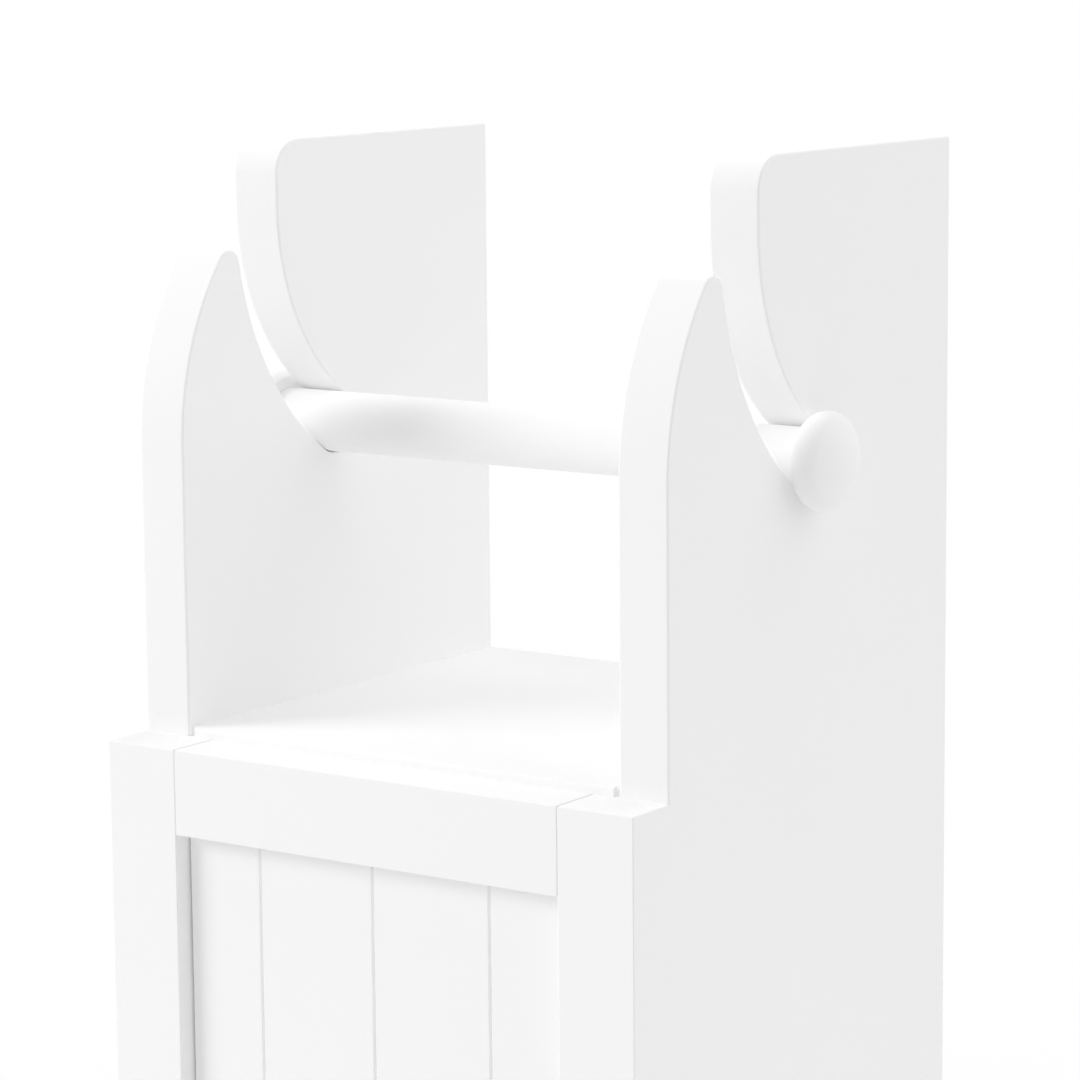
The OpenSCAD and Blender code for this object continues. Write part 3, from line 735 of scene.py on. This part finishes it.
# %% The door's knob
KNOB_R = (knob_high.z - knob_low.z) / 2 / MM
KNOB_LENGTH = (knob_high.y - knob_low.y) / MM
FOOT_R, FOOT_EASE, FOOT_STEP = 9, 0.8, 0.4
RIM_R, RIM_OUT = 5, 16.2
NECK, COVE = Vector((6.4, 10.5)), -150
KNOB_BORE = 14.5


def on_knob(out, radius=0.0):
    """A point in metres on the knob's profile: out from the door, away from its axis."""
    return Vector((knob_mid.x + radius * MM, knob_high.y - out * MM, knob_mid.z))


rim = Vector((RIM_OUT, KNOB_R - RIM_R))
neck_r = (rim - NECK).length - RIM_R
knob_dome_r = dome_radius(KNOB_R, RIM_R, KNOB_LENGTH - RIM_OUT)
knob_dome = Vector((KNOB_LENGTH - knob_dome_r, 0))
foot_end = Vector((2 * FOOT_EASE, FOOT_R - FOOT_STEP)) + FOOT_STEP * ray(30)
to_neck = NECK + neck_r * ray(COVE) - foot_end

door_knob = set_pencil("door_knob_painted", on_knob(0))
line((FOOT_R - FOOT_EASE, 0, 0))
arc(on_knob(FOOT_EASE, FOOT_R - FOOT_EASE), -90, axis=(0, 0, 1), step=15)
line((0, -FOOT_EASE, 0))
arc(on_knob(2 * FOOT_EASE, FOOT_R - FOOT_STEP), -60, axis=(0, 0, 1), step=15)
line((to_neck.y, -to_neck.x, 0))
arc(on_knob(*NECK), bearing(NECK, rim) - COVE, axis=(0, 0, 1), step=12)
arc(on_knob(*rim), bearing(knob_dome, rim) - bearing(rim, NECK), axis=(0, 0, 1), step=8)
arc(on_knob(*knob_dome), -bearing(knob_dome, rim), axis=(0, 0, 1), step=6)
turn_on_lathe(door_knob, knob_mid, (0, 1, 0))
cut(door_knob, [bore(on_knob(0), (0, -1, 0), KNOB_SCREW_R, KNOB_BORE)])
print("neck, mm:", round(NECK.y - neck_r, 1), "dome's radius:", round(knob_dome_r, 1))
hand_over(door_knob, "door", "door_knob")

# %% [markdown]
# ## Moulded pieces
#
# The magnetic catch has a small moulded housing, and the cabinet stands on four nail-on
# glides. Moulded plastic has no sharp edges, so both are rounded, apart from the side of
# the housing that lies on the side panel. One glide is turned, and the other three are
# copies of it, moved to their places in the mesh.

# %% The catch's housing
HOUSING_EASE, POLE_PLAY, HEAD_PLAY = 1.2, 0.2, 0.3
SCREW_SEAT, HOUSING_THROUGH = 7, 24
catch_low, catch_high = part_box("catch_housing")
pole_low, pole_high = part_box("catch_pole_plates")
housing = blank("catch_housing_moulded", catch_low, catch_high)
ease(housing, HOUSING_EASE, lambda edge: not same(middle(edge).x, catch_low.x / MM))
play = Vector((1, 1, 1)) * POLE_PLAY * MM
pocket_low, pocket_high = pole_low - play, pole_high + play
pocket_low.y = catch_low.y - PAST * MM
cut(housing, [blank("pocket", pocket_low, pocket_high)]
    + [hole(Vector((catch_low.x, catch_screw_y, z)), (1, 0, 0), CATCH_SCREW_R + FIT,
            HOUSING_THROUGH) for z in CATCH_SCREW_Z])
cut(housing, [rod(Vector((catch_low.x + SCREW_SEAT * MM, catch_screw_y, z)), (1, 0, 0),
                  CATCH_HEAD_R + HEAD_PLAY, HOUSING_THROUGH) for z in CATCH_SCREW_Z])
hand_over(housing, "carcass", "catch_housing")

# %% One glide with its nail
GLIDE_R, GLIDE_H, GLIDE_EASE, GLIDE_TOP_EASE = 8, 3, 1, 0.5
NAIL_POINT_R, NAIL_POINT_L = 0.4, 1
glide_low, glide_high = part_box("floor_glides")
first = Vector((glide_low.x + GLIDE_R * MM, glide_low.y + GLIDE_R * MM, 0))


def on_glide(height, radius=0.0):
    """A point in metres on the glide's profile: up from the floor, away from its axis."""
    return first + Vector((radius, 0, height)) * MM


glides = set_pencil("floor_glides_moulded", on_glide(0))
line((GLIDE_R - GLIDE_EASE, 0, 0))
arc(on_glide(GLIDE_EASE, GLIDE_R - GLIDE_EASE), -90, axis=(0, 1, 0), step=18)
line((0, 0, GLIDE_H - GLIDE_EASE - GLIDE_TOP_EASE))
arc(on_glide(GLIDE_H - GLIDE_TOP_EASE, GLIDE_R - GLIDE_TOP_EASE), -90, axis=(0, 1, 0), step=30)
line((NAIL_R - GLIDE_R + GLIDE_TOP_EASE, 0, 0))
line((0, 0, NAIL_L - NAIL_POINT_L))
line((NAIL_POINT_R - NAIL_R, 0, NAIL_POINT_L))
line((-NAIL_POINT_R, 0, 0))
turn_on_lathe(glides, first, (0, 0, 1), sides=32)

# %% The other three glides
four = [glides]
last = Vector((glide_high.x - GLIDE_R * MM, glide_high.y - GLIDE_R * MM, 0))
for place in (Vector((last.x, first.y, 0)), Vector((first.x, last.y, 0)), last):
    take(glides)
    bpy.ops.object.duplicate()
    bpy.ops.object.mode_set(mode="EDIT")
    bpy.ops.mesh.select_all(action="SELECT")
    bpy.ops.transform.translate(value=place - first)
    bpy.ops.object.mode_set(mode="OBJECT")
    four.append(bpy.context.object)
hand_over(joined(four), "carcass", "floor_glides")

# %% [markdown]
# ## Finishes
#
# A finish is a small recipe of nodes. To keep its sums readable, a socket is wrapped in
# a class on which +, - and * lay out Math nodes, and one method adds any other node.


# %% Shader sums as ordinary sums
class Wire:
    """A value on its way through a finish."""

    def __init__(self, socket):
        self.socket = socket
        self.tree = socket.id_data

    def sum(self, operation, first, second):
        """Adds one Math node, which takes wires and plain numbers alike."""
        maths = self.tree.nodes.new("ShaderNodeMath")
        maths.operation = operation
        for socket, value in zip(maths.inputs, (first, second)):
            feed(socket, value)
        return Wire(maths.outputs[0])

    def __add__(self, other):
        return self.sum("ADD", self, other)

    def __sub__(self, other):
        return self.sum("SUBTRACT", self, other)

    def __rsub__(self, other):
        return self.sum("SUBTRACT", other, self)

    def __mul__(self, other):
        return self.sum("MULTIPLY", self, other)

    __radd__, __rmul__ = __add__, __mul__


def feed(socket, value):
    """Links a wire to a socket, or sets the socket to a plain value."""
    if isinstance(value, Wire):
        socket.id_data.links.new(value.socket, socket)
    elif socket.type == "RGBA":
        socket.default_value = (*value, 1)
    else:
        socket.default_value = value


class Finish:
    """A material, with one method that adds nodes to it."""

    def __init__(self, name, **constants):
        self.material = bpy.data.materials.new(name)
        self.material.use_nodes = True
        self.tree = self.material.node_tree
        self.surface = self.tree.nodes["Principled BSDF"]
        self.paint(**constants)
        self.place = self.node("ShaderNodeTexCoord", out="Object")

    def node(self, kind, settings=None, sockets=None, out=0):
        """Adds a node: its settings first, then its sockets' values or wires."""
        made = self.tree.nodes.new(kind)
        for key, value in (settings or {}).items():
            if key == "stops":
                for stop, (position, tone) in zip(made.color_ramp.elements, value):
                    stop.position, stop.color = position, (tone, tone, tone, 1)
            else:
                setattr(made, key, value)
        for key, value in (sockets or {}).items():
            feed(made.inputs[key], value)
        return Wire(made.outputs[out])

    def stretched(self, x=1.0, y=1.0, z=1.0):
        """The object's own coordinates, stretched along some of its axes."""
        return self.node("ShaderNodeMapping", sockets={"Vector": self.place, "Scale": (x, y, z)})

    def noise(self, scale, detail=2.0, vector=None):
        """Even noise around 0.5, scale cells to a metre."""
        return self.node("ShaderNodeTexNoise", sockets={
            "Vector": vector or self.place, "Scale": scale, "Detail": detail}, out="Fac")

    def relief(self, height, depth, over=None):
        """Relief of so many millimetres from a height between 0 and 1."""
        sockets = {"Height": height, "Distance": depth * MM, "Strength": 1.0}
        if over:
            sockets["Normal"] = over
        return self.node("ShaderNodeBump", sockets=sockets, out="Normal")

    def mix(self, share, one, other):
        """One colour going over to another."""
        return self.node("ShaderNodeMix", {"data_type": "RGBA"},
                         {0: share, 6: one, 7: other}, out=2)

    def paint(self, **sockets):
        """Sets or links the shader's own sockets, with _ for a space in their names."""
        for key, value in sockets.items():
            feed(self.surface.inputs[key.replace("_", " ")], value)
        return self


print("ready: Wire, feed, Finish")

# %% [markdown]
# The boards are sprayed with white satin paint, which shows hardly any gloss. Close up,
# sprayed paint has a faint orange peel, and its sheen and tone drift a little over a
# hand's width. All of it is weak, because the cabinet looks plain white from a step away.

# %% The paint on the boards' faces
WHITE = (0.945, 0.945, 0.945)
OFF_WHITE = (0.93, 0.93, 0.929)
PAINT_GLOSS = 0.25


def white_paint(name, peel_scale=900.0, peel_depth=0.012, roughness=0.6,
                tones=(WHITE, OFF_WHITE)):
    """Sprayed paint: orange peel so many cells to a metre and so many mm deep."""
    finish = Finish(name, Specular_IOR_Level=PAINT_GLOSS)
    drift = finish.noise(9.0, 3.0)
    peel = finish.noise(peel_scale, 2.0)
    return finish.paint(
        Base_Color=finish.mix(drift, *tones),
        Roughness=roughness - 0.04 + drift * 0.08 + (peel - 0.5) * 0.1,
        Normal=finish.relief(peel, peel_depth))


face_paint = white_paint("satin_paint_on_faces")
print("mixed:", face_paint.material.name)

# %% [markdown]
# A sawn edge of fibreboard drinks the first coat, so its paint is a little less smooth:
# the peel is finer and deeper, and the sheen is lower. The faces that need it are picked
# by their normals, which lie in the board's plane.

# %% The paint on the boards' edges
edge_paint = white_paint("satin_paint_on_edges", peel_scale=1700.0, peel_depth=0.02,
                         roughness=0.68)


def wear(piece, *finishes):
    """Gives a piece its finishes, in the order of its material slots."""
    piece.data.materials.clear()
    for finish in finishes:
        piece.data.materials.append(finish.material)
    print(piece.name, "wears", [material.name for material in piece.data.materials])


def paint_in_two(piece, other, test):
    """The piece gets the face paint, and its faces that pass the test the other one."""
    wear(piece, face_paint, other)
    take(piece)
    bpy.ops.object.mode_set(mode="EDIT")
    count = pick("FACE", test)
    bpy.context.object.active_material_index = 1
    bpy.ops.object.material_slot_assign()
    bpy.ops.object.mode_set(mode="OBJECT")
    print(piece.name, "faces in", other.material.name + ":", count)


EDGE_ON = 0.3
for board in (left_panel, right_panel):
    paint_in_two(board, edge_paint, lambda face: abs(face.normal.x) < EDGE_ON)
for board in (shelf, bottom_board):
    paint_in_two(board, edge_paint, lambda face: abs(face.normal.z) < EDGE_ON)
for board in (bottom_rail, door):
    wear(board, face_paint)

# %% [markdown]
# The two hairline joints on top of the face frame get painted shade. The small roundings that lead
# down into them are painted darker, in place of the shadow inside the joints, so they show as thin
# lines.

# %% The painted shade in the joints on top
# Painted shade: darker tones on the joints' roundings stand in for the shadow inside the joints.
JOINT_SHADE, DEEPER_JOINT_SHADE = (0.80, 0.80, 0.80), (0.77, 0.77, 0.765)
JOINT_HALF, LEANING = 0.6, 0.2
joint_shade_paint = white_paint("painted_shade_in_joints", tones=(JOINT_SHADE, DEEPER_JOINT_SHADE))


def in_a_joint(face):
    """True for the roundings on top of the frame, beside a joint."""
    beside = abs(abs(middle(face).x) - STILE_X) < JOINT_HALF
    return beside and face.normal.z > LEANING and abs(face.normal.x) > LEANING


for board in (left_stile, right_stile, top_rail):
    paint_in_two(board, joint_shade_paint, in_a_joint)

# %% [markdown]
# The roller and the knobs are turned from solid wood. Under their paint the lathe's
# faint rings still show on the knobs, and the grain shows as long, low ripples on the
# bar. Both are noise: squeezed along a knob's axis, and drawn out along the bar's.


# %% Paint on turned wood
def turned_paint(name, stretch, ripple_depth):
    """Paint with ripples so many mm deep: the larger a stretch, the closer they are."""
    finish = Finish(name, Specular_IOR_Level=PAINT_GLOSS)
    drift = finish.noise(14.0, 2.0)
    ripple = finish.noise(1.0, 2.0, finish.stretched(*stretch))
    peel = finish.noise(1100.0, 2.0)
    return finish.paint(
        Base_Color=finish.mix(drift, WHITE, OFF_WHITE),
        Roughness=0.58 + drift * 0.06 + (peel - 0.5) * 0.08,
        Normal=finish.relief(ripple, ripple_depth, over=finish.relief(peel, 0.01)))


bar_paint = turned_paint("paint_on_turned_bar", (60, 1500, 1500), 0.012)
roller_knob_paint = turned_paint("paint_on_roller_knobs", (1400, 90, 90), 0.015)
door_knob_paint = turned_paint("paint_on_door_knob", (90, 1400, 90), 0.015)
wear(bar, bar_paint)
wear(left_knob, roller_knob_paint)
wear(right_knob, roller_knob_paint)
wear(door_knob, door_knob_paint)

# %% [markdown]
# The back is thin hardboard. Its inside is lacquered smooth and its outside keeps the
# fine screen pattern from the press, which two crossed waves make. A step along the
# depth turns the pattern on for the outside only.

# %% Hardboard
BARE_HARDBOARD = (0.8, 0.79, 0.76)
HALF_BACK = 1.7
back = Finish("lacquered_hardboard")
depth = back.node("ShaderNodeSeparateXYZ", sockets={"Vector": back.place}, out="Y")
outside = back.node("ShaderNodeMath", {"operation": "GREATER_THAN"},
                    {0: depth, 1: at(0, PANEL_BACK - HALF_BACK, 0).y})
screen = [back.node("ShaderNodeTexWave", {"wave_type": "BANDS", "bands_direction": way},
                    {"Vector": back.place, "Scale": 330.0, "Distortion": 0.6, "Detail": 1.0},
                    out="Fac") for way in ("X", "Z")]
mottle = back.noise(35.0, 4.0)
back.paint(
    Base_Color=back.mix(outside * (0.35 + mottle * 0.5), OFF_WHITE, BARE_HARDBOARD),
    Roughness=0.4 + outside * 0.25 + (mottle - 0.5) * 0.1,
    Normal=back.relief(outside * (screen[0] * screen[1]), 0.12,
                       over=back.relief(back.noise(900.0), 0.012)))
wear(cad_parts["back_panel"], back)

# %% [markdown]
# ## Wood and metal inside
#
# Dowels are plain beech: its short dark flecks and faint stripes run along each dowel.
# Screws and cams are zinc plated, with a cloudy, faintly blue sheen. The hinges are
# satin nickel, brushed along their length. The magnet is dark sintered ferrite.

# %% Beech, along X or along Y
DARK_BEECH, LIGHT_BEECH, FLECK = (0.62, 0.42, 0.25), (0.76, 0.58, 0.38), (0.42, 0.25, 0.13)


def beech(name, stretch):
    """Beech whose grain runs along the axis with the smallest stretch."""
    finish = Finish(name)
    stripes = finish.noise(1.0, 3.0, finish.stretched(*stretch))
    flecks = finish.node("ShaderNodeValToRGB", {"stops": ((0.62, 0), (0.74, 1))}, {
        "Fac": finish.noise(3.0, 2.0, finish.stretched(*stretch))}, out="Color")
    tone = finish.mix(stripes, DARK_BEECH, LIGHT_BEECH)
    return finish.paint(
        Base_Color=finish.mix(flecks * 0.5, tone, FLECK),
        Roughness=0.55 + stripes * 0.15,
        Normal=finish.relief(stripes, 0.05))


beech_along_x = beech("beech_along_x", (40, 700, 700))
beech_along_y = beech("beech_along_y", (700, 40, 700))
wear(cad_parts["board_dowels"], beech_along_x)
wear(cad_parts["rail_dowels"], beech_along_x)
wear(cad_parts["stile_dowels"], beech_along_y)

# %% Plated steel
ZINC_PARTS = ("strike_plate", "catch_pole_plates")


def plated(name, one, other, sheen, stretch=(1, 1, 1), scratches=900.0):
    """Plated metal: two tones in clouds, its roughness, and scratches stretched one way."""
    finish = Finish(name, Metallic=1.0)
    cloud = finish.noise(70.0, 3.0)
    brush = finish.noise(scratches, 3.0, finish.stretched(*stretch))
    return finish.paint(
        Base_Color=finish.mix(cloud, one, other),
        Roughness=sheen + (cloud - 0.5) * 0.12 + (brush - 0.5) * 0.15,
        Normal=finish.relief(brush, 0.006))


zinc = plated("zinc_plated_steel", (0.60, 0.62, 0.66), (0.70, 0.70, 0.68), 0.34)
nickel = plated("satin_nickel", (0.62, 0.60, 0.56), (0.68, 0.66, 0.62), 0.3,
                stretch=(1, 1, 0.04), scratches=2400.0)
for name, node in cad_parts.items():
    if name.startswith("hinge"):
        wear(node, nickel)
    elif "screw" in name or name.startswith("cam_") or name in ZINC_PARTS:
        wear(node, zinc)

# %% Plastic and ferrite
plastic = Finish("moulded_white_plastic")
texture = plastic.noise(1500.0, 3.0)
plastic.paint(
    Base_Color=plastic.mix(plastic.noise(60.0), (0.84, 0.84, 0.82), (0.87, 0.87, 0.85)),
    Roughness=0.36 + texture * 0.12,
    Normal=plastic.relief(texture, 0.02))
wear(housing, plastic)
wear(glides, plastic)

ferrite = Finish("sintered_ferrite")
grains = ferrite.noise(2500.0, 4.0)
ferrite.paint(
    Base_Color=ferrite.mix(grains, (0.02, 0.02, 0.022), (0.06, 0.06, 0.062)),
    Roughness=0.6 + grains * 0.2,
    Normal=ferrite.relief(grains, 0.03))
wear(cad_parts["catch_magnet"], ferrite)

# %% [markdown]
# ## The studio
#
# The picture is a product shot: very soft, even light and a white ground. The world
# gives most of the light at a plain level. To the camera, and in gloss and glass, it is
# plain white, which costs the object no extra light. White paint sends back nearly all
# the light that it gets, so in a narrow gap the light goes to and fro many times, and
# the paths get more bounces than usual.
#
# Four soft boxes stand round the cabinet. The key at the left front is the smallest, so
# its shadows have the clearest edges. One lamp is above and one above the back, and a
# very large one behind on the right lights the side that faces the camera.

# %% The world
AMBIENT, DIFFUSE_BOUNCES, ALL_BOUNCES = 0.58, 24, 32
world = bpy.data.worlds.new("white_studio")
bpy.context.scene.world = world
world.use_nodes = True
sky = world.node_tree
sky.nodes.clear()
rays = sky.nodes.new("ShaderNodeLightPath")
seen = Wire(rays.outputs["Is Camera Ray"])
for ray_kind in ("Is Glossy Ray", "Is Transmission Ray"):
    seen = seen.sum("MAXIMUM", seen, Wire(rays.outputs[ray_kind]))
glow = sky.nodes.new("ShaderNodeBackground")
glow.inputs["Color"].default_value = (1, 1, 1, 1)
feed(glow.inputs["Strength"], AMBIENT + seen * (1 - AMBIENT))
sky.links.new(glow.outputs[0], sky.nodes.new("ShaderNodeOutputWorld").inputs["Surface"])
paths = bpy.context.scene.cycles
paths.diffuse_bounces, paths.max_bounces = DIFFUSE_BOUNCES, ALL_BOUNCES
print("ambient light", AMBIENT)

# %% The lamps
AIM, LAMP_AWAY = Vector((0, 0, 0.5)), 3.5


def soft_lamp(name, azimuth, elevation, power, side):
    """A square soft box: degrees to the right of the front, degrees up, watts, metres."""
    turn, rise = math.radians(azimuth), math.radians(elevation)
    way = Vector((math.sin(turn) * math.cos(rise), -math.cos(turn) * math.cos(rise),
                  math.sin(rise)))
    clear_bench()
    bpy.ops.object.light_add(type="AREA", location=AIM + way * LAMP_AWAY)
    lamp = bpy.context.object
    lamp.name = lamp.data.name = name
    lamp.data.shape, lamp.data.size, lamp.data.energy = "SQUARE", side, power
    lamp.rotation_euler = way.to_track_quat("Z", "Y").to_euler()
    lamp.visible_camera = False
    print(name, "lamp at", [round(c, 2) for c in lamp.location], power, "W")


soft_lamp("key", -48, 27, 54, side=1.8)
soft_lamp("top", 0, 85, 12, side=2.2)
soft_lamp("top_back", 180, 60, 18, side=2.2)
soft_lamp("rim", 118, 32, 40, side=4.5)

# %% [markdown]
# The floor is a white disc that keeps the object's shadow. Towards its rim it goes over
# to the plain white of the background, so that no edge or horizon shows.

# %% The floor
FLOOR_R, FADE_FROM, FADE_TO = 1.6, 0.5, 1.4
clear_bench()
bpy.ops.mesh.primitive_circle_add(vertices=96, radius=FLOOR_R, fill_type="NGON", location=(0, 0, 0))
floor = bpy.context.object
floor.name = floor.data.name = "studio_floor"
ground = Finish("studio_floor", Roughness=0.9)
distance = ground.node("ShaderNodeVectorMath", {"operation": "LENGTH"}, {0: ground.place},
                       out="Value")
fade = ground.node("ShaderNodeMapRange", {"interpolation_type": "SMOOTHSTEP"}, {
    "Value": distance, "From Min": FADE_FROM, "From Max": FADE_TO})
grain = ground.noise(300.0, 3.0)
ground.paint(Base_Color=ground.mix(grain, (0.93, 0.93, 0.93), (0.95, 0.95, 0.95)))
white = ground.node("ShaderNodeEmission", sockets={"Color": (1, 1, 1), "Strength": 1.0})
mixed = ground.node("ShaderNodeMixShader", sockets={
    0: fade, 1: Wire(ground.surface.outputs[0]), 2: white})
feed(ground.tree.nodes["Material Output"].inputs["Surface"], mixed)
wear(floor, ground)

# %% [markdown]
# ## The camera
#
# The camera's place and turn were worked out from the photograph's perspective. It
# stands at the right front, a little above the cabinet's top, looks down by 9 degrees
# and uses a long lens, which shows only the upper part of the cabinet.

# %% Place the camera
CAMERA_RIGHT, CAMERA_BEFORE, CAMERA_ABOVE = 717.21, 928.56, 258.04
YAW, PITCH, ROLL = 0.6101524, 0.1571468, -0.0089383
SENSOR, LENS = 36, 131.606
clear_bench()
bpy.ops.object.camera_add(location=at(CAMERA_RIGHT, -CAMERA_BEFORE, CAMERA_ABOVE))
camera = bpy.context.object
camera.rotation_euler = (Matrix.Rotation(YAW, 3, "Z") @ Matrix.Rotation(math.pi / 2 - PITCH, 3, "X")
                         @ Matrix.Rotation(ROLL, 3, "Z")).to_euler()
camera.data.sensor_width = SENSOR
camera.data.lens = LENS
camera.data.dof.use_dof = False
bpy.context.scene.camera = camera
bpy.context.scene.view_settings.view_transform = "Standard"
print("camera at", [round(c, 3) for c in camera.location], "lens", camera.data.lens, "mm")
